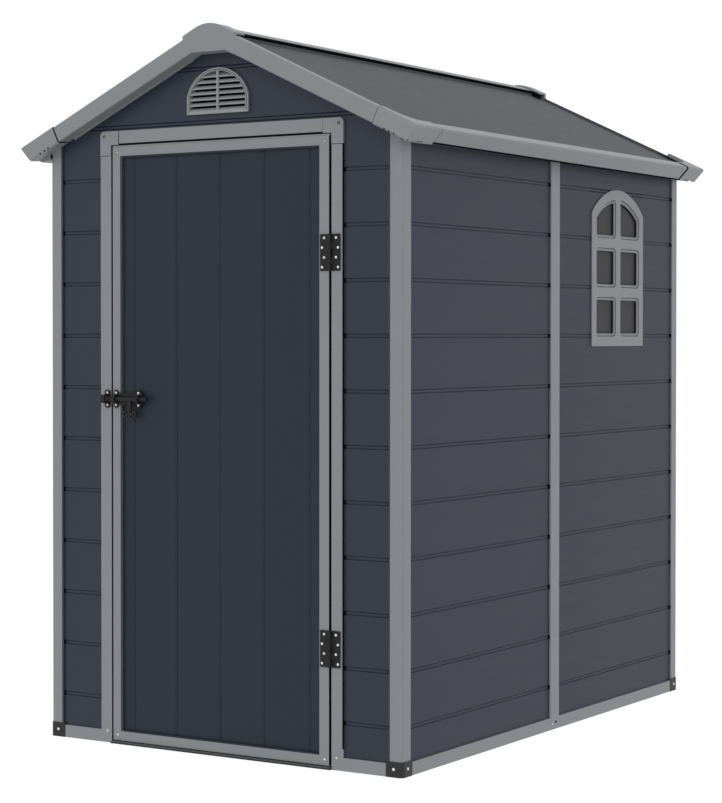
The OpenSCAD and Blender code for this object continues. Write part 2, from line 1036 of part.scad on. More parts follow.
// Rake trim: a lip over the panel, an upright face and a soffit to the wall
module rake_trim(rise) {
    difference() {
        down_slope(0, seam_s)
            difference() {
                rake_outline(0, rise);
                translate([panel_y - panel_play, -roof_t - panel_play])
                    square([rake_out, roof_t + 2 * panel_play]);
                translate([lip_y, -eps])
                    square([rake_out, rise + 2 * eps]);
            }
        slab(-peak_half, peak_half, rake_y - eps, inside_y, 0, roof_z * 2);
    }
}

module rake_trims_front() {
    color(trim_grey)
        both_x()
            rake_trim(trim_rise);
}

// Rear rakes rise less above the roof skin
module rake_trims_rear() {
    color(trim_grey)
        mirror([0, 1, 0])
            both_x()
                rake_trim(rear_rise);
}

// Space over the panel that the lips of a corner cap leave free, with a rounded inner corner
module cap_clear() {
    translate([0, 0, roof_z])
        rotate([0, roof_pitch, 0])
            translate([0, 0, -eps])
                linear_extrude((trim_rise + cap_out) * 2) {
                    translate([0, lip_y + cap_r])
                        square([lip_s, half_d]);
                    translate([0, lip_y])
                        square([lip_s - cap_r, half_d]);
                    translate([lip_s - cap_r, lip_y + cap_r])
                        circle(cap_r);
                }
}

// Corner cap at the front right: the rake and eave profiles, swollen and mitred into each other
module corner_cap(y_seam) {
    difference() {
        union() {
            intersection() {
                along_y(rake_y * 2, front_y)
                    eave_outline(cap_out, 0, skin_z(0) - (rake_low + cap_out) / cos(roof_pitch));
                down_slope(seam_s + seam_gap, seam_s * 2)
                    rake_outline(cap_out, trim_rise);
            }
            along_y(front_y, y_seam - seam_gap)
                eave_outline(cap_out, half_w, soffit_z - cap_out);
        }
        along_y(panel_y - panel_play, half_d)
            panel_section(panel_play);
        cap_clear();
    }
}

module roof_corner_caps() {
    color(trim_grey)
        both_x() {
            corner_cap(cap_front_y);
            mirror([0, 1, 0])
                corner_cap(-cap_rear_y);
        }
}

// Crown of the ridge in X and Z, lowered by a margin, of a half width, filled down to a height
module ridge_crown(g, half, low) {
    r = peak_r - g;
    tip_z = peak_zc + r / cos(roof_pitch);
    xt = r * sin(roof_pitch);
    difference() {
        polygon([
            [-half, low],
            [-half, tip_z - half * slope],
            [0, tip_z],
            [half, tip_z - half * slope],
            [half, low]
        ]);
        difference() {
            translate([-xt, tip_z - xt * slope])
                square([2 * xt, peak_r]);
            translate([0, peak_zc])
                circle(r);
        }
    }
}

// Everything above the roof skin in X and Z
module above_skin() {
    polygon([
        [-half_w, skin_z(half_w)],
        [0, skin_z(0)],
        [half_w, skin_z(half_w)],
        [half_w, roof_z * 2],
        [-half_w, roof_z * 2]
    ]);
}

// Ridge cap: a thin crown under the peaks, on two legs that stand on the panels
module ridge_cap() {
    leg_x = ridge_half * 2 / 3;
    low = under_z(ridge_half);
    color(trim_grey)
        along_y(panel_y, -panel_y) {
            difference() {
                ridge_crown(ridge_drop, ridge_half, low);
                ridge_crown(ridge_drop + ridge_t, ridge_half, low);
            }
            intersection() {
                ridge_crown(ridge_drop + ridge_t / 2, ridge_half, low);
                above_skin();
                both_x_flat()
                    translate([leg_x, 0])
                        square([ridge_t, roof_z * 2]);
            }
        }
}

// Roof peaks: an upright face with a flat under it, and a thin crown over the ridge cap and the panels
module roof_peaks() {
    side_z = peak_low - (peak_half - peak_flat) * slope;
    color(trim_grey)
        both_y()
            difference() {
                along_y(rake_y, face_y)
                    difference() {
                        ridge_crown(0, peak_half, side_z);
                        polygon([
                            [-peak_half, side_z],
                            [-peak_flat, peak_low],
                            [peak_flat, peak_low],
                            [peak_half, side_z]
                        ]);
                    }
                along_y(panel_y - panel_play, half_d) {
                    both_x_flat()
                        panel_section(panel_play);
                    intersection() {
                        ridge_crown(peak_t, peak_half + eps, side_z);
                        above_skin();
                    }
                }
            }
}

module ridge_beam() {
    color(trim_grey)
        intersection() {
            slab(-beam_w / 2, beam_w / 2, back_y, -back_y, under_z(0) - beam_h, roof_z);
            below_roof();
        }
}

base_rails();
base_brackets();
floor_panel();
threshold();
corner_posts();
mid_posts();
wall_left_front();
wall_left_rear();
wall_right_front();
wall_right_rear();
rear_wall();
front_wall_left();
front_wall_right();
front_gable();
door_jambs();
door_header();
door_frame_corners();
door_stiles();
door_rails();
door_panel();
hinge_frame_leaves();
hinge_door_leaves();
latch_plate();
latch_bolt();
latch_keeper();
window_frame();
window_pane();
gable_vents();
roof_panel_left();
roof_panel_right();
eave_trims();
rake_trims_front();
rake_trims_rear();
roof_corner_caps();
ridge_cap();
roof_peaks();
ridge_beam();
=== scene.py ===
import json
import math

import bmesh
import bpy
from mathutils import Matrix, Vector


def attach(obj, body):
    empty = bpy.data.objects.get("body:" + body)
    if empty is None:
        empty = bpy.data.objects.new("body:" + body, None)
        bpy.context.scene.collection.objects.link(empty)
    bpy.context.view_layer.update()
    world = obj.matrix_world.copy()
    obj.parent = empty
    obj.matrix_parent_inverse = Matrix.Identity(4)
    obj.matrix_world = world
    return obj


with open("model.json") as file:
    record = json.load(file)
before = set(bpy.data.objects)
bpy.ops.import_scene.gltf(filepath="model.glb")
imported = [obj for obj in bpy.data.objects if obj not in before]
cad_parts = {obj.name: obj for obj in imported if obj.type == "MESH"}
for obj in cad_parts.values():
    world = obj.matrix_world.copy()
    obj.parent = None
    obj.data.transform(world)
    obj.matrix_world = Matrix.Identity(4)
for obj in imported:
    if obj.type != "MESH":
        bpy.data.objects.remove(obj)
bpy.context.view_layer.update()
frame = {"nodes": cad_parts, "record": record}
nodes = frame["nodes"]
scene = bpy.context.scene
scene.view_settings.view_transform = "Standard"

# Sizes of the walls and the door, in metres, as in the solids
HALF_W, HALF_D = 0.6, 0.9
FRONT = -HALF_D
BOARD_SET = 0.005
FACE_X = HALF_W - BOARD_SET
FACE_Y = HALF_D - BOARD_SET
POST_FACE, MID_HALF = 0.044, 0.028
POST_X, POST_Y = HALF_W - POST_FACE, HALF_D - POST_FACE
BASE_TOP, WALL_TOP = 0.036, 1.738
JAMB_IN, JAMB_OUT = 0.3765, 0.4145
DOOR_X, DOOR_LOW, DOOR_TOP = 0.3705, 0.010, 1.724
STILE_W, RAIL_H, PANEL_SET = 0.033, 0.031, 0.007
UPRIGHTS, UPRIGHT_PITCH = (-2, -1, 0, 1, 2), 0.150
SILL_OUT = 0.008
HEADER_LOW, HEADER_TOP = 1.730, 1.770
CORNER_RUN, CORNER_DROP, CORNER_OUT = 0.065, 0.070, 0.0015
JOINT_LOW, JOINT_PITCH, JOINT_H, JOINT_COUNT = 0.130, 0.150, 0.012, 11
JOINTS = [JOINT_LOW + JOINT_PITCH * k for k in range(JOINT_COUNT)]
PIN_X = 0.3735
HINGES = (0.279, 1.356)
LATCH_Z = 0.998

# Sizes of the window and the vents, as in the solids
WIN_Y, WIN_LOW, WIN_TOP, WIN_W, WIN_R = 0.442, 1.1475, 1.6385, 0.375, 0.270
WIN_Y0, WIN_Y1 = WIN_Y - WIN_W / 2, WIN_Y + WIN_W / 2
WIN_COLS, WIN_ROWS, WIN_BAR, WIN_CORNER = 2, 3, 0.030, 0.017
WIN_STEP_W, WIN_STEP_D = 0.010, 0.005
WIN_FACE, PANE_X = 0.598, 0.587
VENT_LOW, VENT_TOP, VENT_W, VENT_R = 1.802, 1.930, 0.208, 0.109
VENT_RIM, VENT_OUT = 0.009, 0.008
VENT_SLATS, SLAT_DROP, SLAT_DEEP, SLAT_SHARE, BAR_SHARE = 7, 0.15, 0.009, 0.75, 7 / 8

# Sizes of the roof, as in the solids: a run goes down the slope, a rise goes square to it
PITCH = math.radians(25.4)
APEX = 2.0364
RAKE_Y, LIP_Y, NOSE_R, TRIM_RISE, REAR_RISE = 0.947, 0.920, 0.005, 0.0125, 0.004
RAKE_LOW, SOFFIT_LIFT, SOFFIT_SHARE, SOFFIT_START = 0.0355, 0.004, 0.8, 0.010
SEAM_RUN, LIP_RUN, CAP_OUT, CAP_CORNER = 0.6085, 0.693, 0.0025, 0.060
EAVE_SEAMS = (-0.811, 0.826)
NOSE_X, NOSE_Z, LOW_X, LOW_Z, EAVE_LEAN = 0.663, 1.7299, 0.6367, 1.695, math.radians(43.5)
EAVE_FOOT, EAVE_BACK = 0.004, 0.03
PEAK_HALF, PANEL_END = 0.087, 0.934
RIDGE_HALF, RIDGE_LOW = 0.057, 2.0217
RIB_Y = 0.914

# Sides and steps of the round forms
SCREW_SIDES, SHADED_HOLE_SIDES = 20, 18
CORNER_STEPS, ARCH_STEPS, VENT_STEPS = 6, 16, 32
SILL_STEPS, RAKE_STEPS, EAVE_STEPS, BEND_STEPS = 10, 5, 6, 12

# Screws: radius and place
BRACKET_SCREW_R, BRACKET_SCREW_IN, BRACKET_SCREW_Z, BRACKET_OUT = 0.0042, 0.026, 0.022, 0.002
SMALL_SCREW_R = 0.003
RAIL_SCREW_Y, RAIL_SCREW_Z = -0.014, 0.017
JAMB_SCREW_IN, JAMB_SCREW_Z = 0.016, 0.034
HARDWARE_SCREW_R = 0.0036
HINGE_SCREWS, HINGE_SCREW_TOP, HINGE_SCREW_STEP, HINGE_OUT = 4, 0.0895, 0.0265, 0.003
HINGE_SCREW_OFF = (0.019, 0.0255)
LATCH_SCREW_DZ, LATCH_OUT = (-0.0175, 0.0175), 0.004
KEEPER_SCREW_X, PLATE_SCREW_X = (-0.3885,), (-0.357, -0.2765)
DOOR_SCREW_IN, DOOR_LOW_SCREW_R, DOOR_TOP_SCREW_R = 0.016, 0.0032, 0.0014
SHADED_HOLE_R, FRAME_SCREW_IN, FRAME_SCREW_DROP = 0.0042, 0.014, 0.015
RAIL_HOLE_Y, RAIL_HOLE_Z = 0.008, 0.021
HEAD_R, HEAD_SHIFT, HEAD_OUT, HEAD_DROP = 0.0024, 0.0008, 0.0004, 0.0154

# Painted shade at the ends of the board joints, and fillers in their grooves
END_IN, END_OUT, END_TRIM = 0.002, 0.003, 0.0005
END_RUN_SIDE, END_RUN_FRONT = 0.005, 0.004
FILL_OUT, FILL_IN, FILL_LOW, FILL_HIGH = 0.0022, 0.0031, 0.0038, 0.0050

# Chamfer of a small block, as a share of its least side
CHAMFER = 0.18

# Thin strips at the door and the front: a strip stands proud of the edge that it covers
PROUD = 0.0004
STILE_STRIP, TOP_RAIL_STRIP, LOW_RAIL_STRIP, POST_STRIP = 0.0070, 0.0045, 0.0040, 0.0058
UPRIGHT_STRIP, UPRIGHT_PROUD, UPRIGHT_DEEP = 0.0042, 0.0001, 0.0008
GAP_FOOT = 0.012
LATCH_GAP_W, LATCH_GAP_SET, LATCH_GAP_DEEP, LATCH_GAP_TOP = 0.0038, 0.0010, 0.0060, 1.7265
HEADER_STRIP, HEADER_STRIP_DEEP = 0.0036, 0.0030
JAMB_STRIP, JAMB_PAST, JAMB_STRIP_DEEP, JAMB_STRIP_LOW = 0.0038, 0.0006, 0.0040, 0.060
HINGE_EDGE, HINGE_EDGE_PAST, HINGE_EDGE_PROUD = 0.0022, 0.0006, 0.0003
HINGE_EDGE_DEEP, HINGE_EDGE_TOP = 0.010, 1.7225
TOP_LIP_IN, TOP_LIP_OUT, TOP_LIP_DEEP = 0.0005, 0.0034, 0.012
SILL_R, SILL_MID, SILL_BACK, SILL_LEFT, SILL_RIGHT = 0.0040, 0.0042, 0.0020, 0.007, 0.002
FRAME_SEAM_W, FRAME_SEAM_PROUD, FRAME_SEAM_DEEP = 0.0012, 0.0008, 0.0005

# Beads of the window and the vents, and the painted shade round the panes, in the vent grooves and
# in the gaps under the slats
PANE_SHADE_H, PANE_SHADE_W = 0.0052, 0.0008
GROOVE_HALF, GROOVE_LOW, GROOVE_HIGH = 0.0006, -0.0005, 0.0002
RING_BEAD_IN, GROOVE_IN = 0.0018, 0.0042
GAP_H, GAP_LOW, GAP_HIGH, GAP_SIDE = 0.0055, -0.0004, 0.0006, 0.001
KNOB_HALF, KNOB_OVER, KNOB_DEEP, KNOB_OUT = 0.0042, 0.001, 0.002, 0.0012

# Seams, dark strips, feet and holes of the roof: the seams, strips and holes are painted shade, the
# pale feet painted light
STRIP_OUT, WALL_OUT, SEAM_GAP, LET_IN = 0.0003, 0.0022, 0.0004, 0.0004
RAKE_STRIP, EAVE_STRIP = 0.0026, 0.0060
SHADE_END = 0.002
RIDGE_SHADE_X0, RIDGE_SHADE_X1, RIDGE_SHADE_H = 0.046, 0.052, 0.0105
PEAK_SHADE_X, PEAK_SHADE_Y0, PEAK_SHADE_Y1, PEAK_SHADE_H = 0.059, 0.897, 0.905, 0.0140
CAP_SHADE_W, CAP_SHADE_H = 0.0020, 0.0050
FILLET_IN, FILLET_OUT, FILLET_LOW, FILLET_HIGH = 0.0005, 0.0045, -0.0372, -0.0300
FILLET_PEAK_END, FILLET_CAP_END = 0.012, 0.024
EDGE_RUNS, EDGE_DROPS, EDGE_OUT, EDGE_BACK = (0.0050, 0.0003), (0.0005, 0.0034), 0.0005, 0.006
RIB_FOOT_HALF, RIB_FOOT_H, RIB_FOOT_END = 0.0010, 0.0040, 0.030
RIDGE_FOOT_X0, RIDGE_FOOT_X1, RIDGE_FOOT_H = 0.0580, 0.0592, 0.0055
RIDGE_EDGE_X, RIDGE_EDGE_PAST, RIDGE_EDGE_DROP, RIDGE_EDGE_H = 0.0566, 0.0005, 0.0003, 0.0026
RAKE_HOLES, RAKE_HOLE_R, RAKE_HOLE_WAY = (0.6487, 0.6641, 0.6815), 0.0027, (0.8, -0.6)
EAVE_HOLES, EAVE_HOLE_R, EAVE_HOLE_WAY = (0.866, 0.878, 0.891, 0.943), 0.0025, (0.72, -0.69)
EAVE_HOLE_OUT, EAVE_HOLE_DROP = 0.0030, 0.0005
POST_HOLE_R, POST_HOLE_IN, POST_HOLE_OUT, POST_HOLE_Z = 0.0045, 0.002, 0.0010, 1.7064
POST_HOLE_WAY = (0.4, 0.9)


# Materials

GLOSS_SPREAD = 0.05
BROAD_DETAIL, FINE_DETAIL, FINE_TIMES, RELIEF = 5.0, 4.0, 14.0, 0.0006


def shader_nodes(name):
    mat = bpy.data.materials.new(name)
    mat.use_nodes = True
    tree = mat.node_tree
    return mat, tree, tree.nodes["Principled BSDF"]


def plastic(name, colour, spread, rough, stretch, scale, bump, specular=0.5):
    """Moulded plastic: two close tones mottled along the grain, fine raised grain, uneven gloss."""
    mat, tree, bsdf = shader_nodes(name)
    link = tree.links.new
    coord = tree.nodes.new("ShaderNodeTexCoord")
    place = tree.nodes.new("ShaderNodeMapping")
    place.inputs["Scale"].default_value = stretch
    link(coord.outputs["Object"], place.inputs["Vector"])
    broad = tree.nodes.new("ShaderNodeTexNoise")
    broad.inputs["Scale"].default_value = scale
    broad.inputs["Detail"].default_value = BROAD_DETAIL
    link(place.outputs["Vector"], broad.inputs["Vector"])
    tone = tree.nodes.new("ShaderNodeMix")
    tone.data_type = "RGBA"
    tone.inputs["A"].default_value = (*[c * (1 - spread) for c in colour], 1.0)
    tone.inputs["B"].default_value = (*[c * (1 + spread) for c in colour], 1.0)
    link(broad.outputs["Fac"], tone.inputs["Factor"])
    link(tone.outputs["Result"], bsdf.inputs["Base Color"])
    gloss = tree.nodes.new("ShaderNodeMapRange")
    gloss.inputs["To Min"].default_value = rough - GLOSS_SPREAD
    gloss.inputs["To Max"].default_value = rough + GLOSS_SPREAD
    link(broad.outputs["Fac"], gloss.inputs["Value"])
    link(gloss.outputs["Result"], bsdf.inputs["Roughness"])
    fine = tree.nodes.new("ShaderNodeTexNoise")
    fine.inputs["Scale"].default_value = scale * FINE_TIMES
    fine.inputs["Detail"].default_value = FINE_DETAIL
    link(place.outputs["Vector"], fine.inputs["Vector"])
    relief = tree.nodes.new("ShaderNodeBump")
    relief.inputs["Strength"].default_value = bump
    relief.inputs["Distance"].default_value = RELIEF
    link(fine.outputs["Fac"], relief.inputs["Height"])
    link(relief.outputs["Normal"], bsdf.inputs["Normal"])
    bsdf.inputs["Specular IOR Level"].default_value = specular
    return mat


# Colours
TRIM = (0.230, 0.245, 0.259)
# Trim colour tinted warmer for the eave trims, corner caps and window frame: painted light for the
# side walls
TRIM_SIDE_LIGHT = (0.235, 0.243, 0.260)
BOARD = (0.0066, 0.0132, 0.0300)
# Board colour made lighter for the side walls, with a lower specular level on its finish below:
# painted light
BOARD_SIDE_LIGHT = (0.0070, 0.0140, 0.0330)
DOOR = (0.0085, 0.0142, 0.0280)
# Door colour made darker, with less gloss, for the strips over the door joints: painted shade
DOOR_JOINT_SHADE = (0.0074, 0.0124, 0.0246)
ROOF = (0.016, 0.019, 0.031)
BLACK = (0.006, 0.006, 0.006)
BASE = (0.009, 0.009, 0.009)
PANE = (0.0640, 0.0635, 0.0680)
# Grey of the threshold nose, also the paler painted shade in the seam of the front right corner cap
SILL_AND_FAINT_SHADE = (0.055, 0.055, 0.055)
# Roof colour made far lighter for the pale feet: painted light
ROOF_LIT = (0.105, 0.110, 0.120)
VENT = (0.270, 0.280, 0.295)
# Near black of every dark strip, disc and edge that stands for shade in holes, gaps, grooves and
# seams: painted shade
PAINTED_SHADE = (0.003, 0.003, 0.004)
ZINC = (0.86, 0.86, 0.86)

# Directions of the grain: a low number stretches it along that axis
EVEN = (1.0, 1.0, 1.0)
TRIM_UP, TRIM_LEVEL = (6.0, 6.0, 1.0), (1.0, 1.0, 6.0)
BOARD_LEVEL, BOARD_UP = (0.6, 0.6, 9.0), (9.0, 9.0, 0.6)

# Finishes: colour, spread of tone, roughness, grain, its scale, its relief and the specular level
mat_trim = plastic("trim_plastic", TRIM, 0.03, 0.48, TRIM_UP, 9.0, 0.10)
mat_trim_flat = plastic("trim_plastic_level", TRIM, 0.03, 0.48, TRIM_LEVEL, 9.0, 0.10)
mat_trim_side_light = plastic("trim_plastic_side_light", TRIM_SIDE_LIGHT, 0.03, 0.48, TRIM_LEVEL, 9.0, 0.10)
mat_boards = plastic("board_plastic", BOARD, 0.10, 0.50, BOARD_LEVEL, 8.0, 0.12, 0.48)
mat_boards_side_light = plastic("board_plastic_side_light", BOARD_SIDE_LIGHT, 0.10, 0.50, BOARD_LEVEL, 8.0, 0.12,
                          0.385)
mat_door = plastic("door_plastic", DOOR, 0.10, 0.52, BOARD_UP, 8.0, 0.12, 0.33)
mat_door_joint_shade = plastic("door_joint_painted_shade", DOOR_JOINT_SHADE, 0.10, 0.52, BOARD_UP, 8.0, 0.12, 0.29)
mat_roof = plastic("roof_plastic", ROOF, 0.06, 0.60, EVEN, 30.0, 0.15)
mat_black = plastic("black_coat", BLACK, 0.60, 0.50, EVEN, 160.0, 0.80, 0.30)
mat_base = plastic("base_plastic", BASE, 0.10, 0.50, EVEN, 60.0, 0.25, 0.40)
mat_pane = plastic("pane_sheet", PANE, 0.05, 0.35, EVEN, 12.0, 0.04, 0.04)
mat_vent = plastic("vent_plastic", VENT, 0.03, 0.45, EVEN, 20.0, 0.08)
mat_sill_and_faint_shade = plastic("sill_plastic_and_faint_shade", SILL_AND_FAINT_SHADE, 0.10, 0.50, EVEN, 60.0, 0.25, 0.40)
mat_roof_lit = plastic("roof_lit_plastic", ROOF_LIT, 0.06, 0.60, EVEN, 30.0, 0.15, 0.30)
mat_screw = plastic("screw_zinc", ZINC, 0.04, 0.35, EVEN, 200.0, 0.10)
mat_painted_shade = plastic("painted_shade_black", PAINTED_SHADE, 0.10, 0.80, EVEN, 60.0, 0.05, 0.05)

# Which node has which finish, and how far its hard edges are rounded. The side copies of the trim
# and board finishes are painted light: copies of one plastic, tuned for how light falls on the side
# walls
LEVEL = {"base_rails", "door_header", "door_rails", "rake_trims_front", "rake_trims_rear",
         "roof_peaks", "ridge_beam"}
SIDE_LIGHT_TRIMS = {"eave_trims", "roof_corner_caps", "window_frame"}
SIDE_LIGHT_BOARDS = {"wall_left_front", "wall_left_rear", "wall_right_front", "wall_right_rear"}
BY_SLOT = {"trim": mat_trim, "boards": mat_boards, "door_boards": mat_door, "roof": mat_roof,
           "hardware": mat_black, "base_plastic": mat_base, "pane": mat_pane, "vent": mat_vent}
ROUNDING = {"trim": 0.0015, "door_boards": 0.0004, "boards": 0.0004, "roof": 0.001,
            "hardware": 0.0006, "base_plastic": 0.0012, "vent": 0.0006}
SOFT_EDGES = {"roof_corner_caps": 0.003, "roof_peaks": 0.0025}
SOFT_SEGMENTS = 3
slot_of = {s["node"]: s["material_slot"] for s in frame["record"]["subparts"]}


def paint(obj, mat):
    obj.data.materials.clear()
    obj.data.materials.append(mat)


def soften(obj, width, segments=2, angle=30.0):
    """Small rounding along the hard edges."""
    mod = obj.modifiers.new("edge_rounding", "BEVEL")
    mod.width = width
    mod.segments = segments
    mod.limit_method = "ANGLE"
    mod.angle_limit = math.radians(angle)
    mod.harden_normals = True
    mod.use_clamp_overlap = True


for name, obj in nodes.items():
    slot = slot_of[name]
    special = (mat_trim_flat if name in LEVEL else mat_trim_side_light if name in SIDE_LIGHT_TRIMS
               else mat_boards_side_light if name in SIDE_LIGHT_BOARDS else None)
    paint(obj, special or BY_SLOT[slot])
    if name in SOFT_EDGES:
        soften(obj, SOFT_EDGES[name], SOFT_SEGMENTS)
    elif slot in ROUNDING:
        soften(obj, ROUNDING[slot])


# Small pieces, gathered into one mesh for each body and finish

class Batch:
    """Collects small closed meshes and makes one object of them."""

    def __init__(self):
        self.bm = bmesh.new()

    def add(self, verts, faces, matrix=Matrix.Identity(4)):
        made = [self.bm.verts.new(matrix @ Vector(v)) for v in verts]
        for f in faces:
            self.bm.faces.new([made[i] for i in f])

    def make(self, name, mat, body, slot, smooth=40.0):
        bmesh.ops.recalc_face_normals(self.bm, faces=self.bm.faces)
        data = bpy.data.meshes.new(name)
        self.bm.to_mesh(data)
        self.bm.free()
        data.shade_smooth()
        data.set_sharp_from_angle(angle=math.radians(smooth))
        obj = bpy.data.objects.new(name, data)
        scene.collection.objects.link(obj)
        paint(obj, mat)
        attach(obj, body)
        return obj


def rings(rows, closed):
    """Faces joining rows of points, each a closed ring, with ends filled or joined to the start."""
    n, m = len(rows), len(rows[0])
    verts = [p for row in rows for p in row]
    faces = []
    for k in range(n if closed else n - 1):
        a, b = k * m, (k + 1) % n * m
        faces += [(a + i, a + (i + 1) % m, b + (i + 1) % m, b + i) for i in range(m)]
    if not closed:
        faces += [tuple(range(m - 1, -1, -1)), tuple((n - 1) * m + i for i in range(m))]
    return verts, faces


def turned(profile, sides):
    """Closed turned form about Z from (radius, height) pairs, with flat ends."""
    turns = [2 * math.pi * i / sides for i in range(sides)]
    rows = [[(r * math.cos(a), r * math.sin(a), z) for a in turns] for r, z in profile]
    return rings(rows, False)


def facing(point, normal):
    """Matrix that puts local Z along a normal at a point."""
    turn = Vector(normal).to_track_quat("Z", "Y").to_matrix().to_4x4()
    return Matrix.Translation(Vector(point)) @ turn


# Outline of a screw head as shares of its radius: side, dome and recess
SCREW = [(1.0, -0.3), (1.0, 0.12), (0.86, 0.32), (0.6, 0.45), (0.34, 0.5), (0.30, 0.34),
         (0.12, 0.28)]
TO_FRONT = (0, -1, 0)


def screw(batch, point, normal, r):
    batch.add(*turned([(a * r, h * r) for a, h in SCREW], SCREW_SIDES), facing(point, normal))


def shaded_hole(batch, point, normal, r, out=0.0006):
    """Shallow dark disc with a rolled edge, painted shade of a hole."""
    profile = [(r, -r), (r, out * 0.5), (r * 0.85, out), (r * 0.5, out * 0.7)]
    batch.add(*turned(profile, SHADED_HOLE_SIDES), facing(point, normal))


def block(batch, low, high, matrix=Matrix.Identity(4)):
    """Box with its long edges chamfered."""
    (x0, y0, z0), (x1, y1, z1) = low, high
    c = CHAMFER * min(x1 - x0, y1 - y0, z1 - z0)
    ring = [(x0 + c, y0), (x1 - c, y0), (x1, y0 + c), (x1, y1 - c),
            (x1 - c, y1), (x0 + c, y1), (x0, y1 - c), (x0, y0 + c)]
    batch.add(*rings([[(x, y, z) for x, y in ring] for z in (z0, z1)], False), matrix)


def mirrored(side, a, b):
    """Two places on one side of the middle, the lower first."""
    return sorted((side * a, side * b))


def arc(cx, cy, r, a0, a1, steps):
    turns = [math.radians(a0 + (a1 - a0) * i / steps) for i in range(steps + 1)]
    return [(cx + r * math.cos(a), cy + r * math.sin(a)) for a in turns]


def half_round(wide, high, deep, step):
    """Section of a half-round bead, with a foot let in below it."""
    turns = [math.radians(a) for a in range(0, 181, step)]
    dome = [(wide * math.cos(a), high * math.sin(a)) for a in turns]
    return dome + [(-wide, -deep), (wide, -deep)]


def side_way(path, i, closed):
    """Sideways direction at a point of a flat path, to its right, lengthened at a bend."""
    n = len(path)
    here = Vector(path[i])
    before = Vector(path[i - 1]) if closed or i else here
    after = Vector(path[(i + 1) % n]) if closed or i < n - 1 else here
    legs = (here - before, after - here)
    ways = [Vector((d.y, -d.x)).normalized() for d in legs if d.length > 0]
    way = sum(ways, Vector((0, 0))).normalized()
    return way / max(0.5, way.dot(ways[0]))


def sweep(batch, path, section, matrix, closed):
    """Runs a section of (sideways, up) points along a flat path in local X and Y."""
    rows = []
    for i, p in enumerate(path):
        way = side_way(path, i, closed)
        rows.append([(p[0] + way.x * a, p[1] + way.y * a, b) for a, b in section])
    batch.add(*rings(rows, closed), matrix)


def axes(x, y, z, origin):
    """Matrix with the given local axes and origin."""
    m = Matrix((x, y, z)).transposed().to_4x4()
    m.translation = origin
    return m


# Planes that the small pieces lie in: local X and Y in the plane, local Z out of it
RIGHT_WALL = axes((0, 1, 0), (0, 0, 1), (1, 0, 0), (0, 0, 0))
GABLES = {sy: axes((-sy, 0, 0), (0, 0, 1), (0, sy, 0), (0, 0, 0)) for sy in (-1, 1)}
SLOPES = {sx: axes((sx * math.cos(PITCH), 0, -math.sin(PITCH)), (0, 1, 0),
                   (sx * math.sin(PITCH), 0, math.cos(PITCH)), (0, 0, APEX)) for sx in (-1, 1)}


# Pale screws on the shed and on the door

def hinge_screws(batch, side):
    """Screws of the hinge leaves on one side of the pins, in two staggered rows."""
    for z in HINGES:
        for k in range(HINGE_SCREWS):
            x = PIN_X + side * HINGE_SCREW_OFF[k % 2]
            top = z + HINGE_SCREW_TOP - HINGE_SCREW_STEP * k
            screw(batch, (x, FRONT - HINGE_OUT, top), TO_FRONT, HARDWARE_SCREW_R)


def latch_screws(batch, places):
    """Pairs of screws in the latch plate or the keeper."""
    for x in places:
        for dz in LATCH_SCREW_DZ:
            screw(batch, (x, FRONT - LATCH_OUT, LATCH_Z + dz), TO_FRONT, HARDWARE_SCREW_R)


pale = Batch()
for sx in (-1, 1):
    for sy in (-1, 1):
        end = (sx * (HALF_W - BRACKET_SCREW_IN), sy * (HALF_D + BRACKET_OUT), BRACKET_SCREW_Z)
        screw(pale, end, (0, sy, 0), BRACKET_SCREW_R)
        end = (sx * (HALF_W + BRACKET_OUT), sy * (HALF_D - BRACKET_SCREW_IN), BRACKET_SCREW_Z)
        screw(pale, end, (sx, 0, 0), BRACKET_SCREW_R)
    screw(pale, (sx * HALF_W, RAIL_SCREW_Y, RAIL_SCREW_Z), (sx, 0, 0), SMALL_SCREW_R)
    foot = (sx * (JAMB_IN + JAMB_SCREW_IN), FRONT, JAMB_SCREW_Z)
    screw(pale, foot, TO_FRONT, SMALL_SCREW_R)
hinge_screws(pale, 1)
latch_screws(pale, KEEPER_SCREW_X)
pale.make("shed_screws", mat_screw, "shed", "hardware")

pale = Batch()
hinge_screws(pale, -1)
for sx in (-1, 1):
    x = sx * (DOOR_X - DOOR_SCREW_IN)
    screw(pale, (x, FRONT, DOOR_LOW + DOOR_SCREW_IN), TO_FRONT, DOOR_LOW_SCREW_R)
    screw(pale, (x, FRONT, DOOR_TOP - DOOR_SCREW_IN), TO_FRONT, DOOR_TOP_SCREW_R)
latch_screws(pale, PLATE_SCREW_X)
pale.make("door_screws", mat_screw, "door", "hardware")

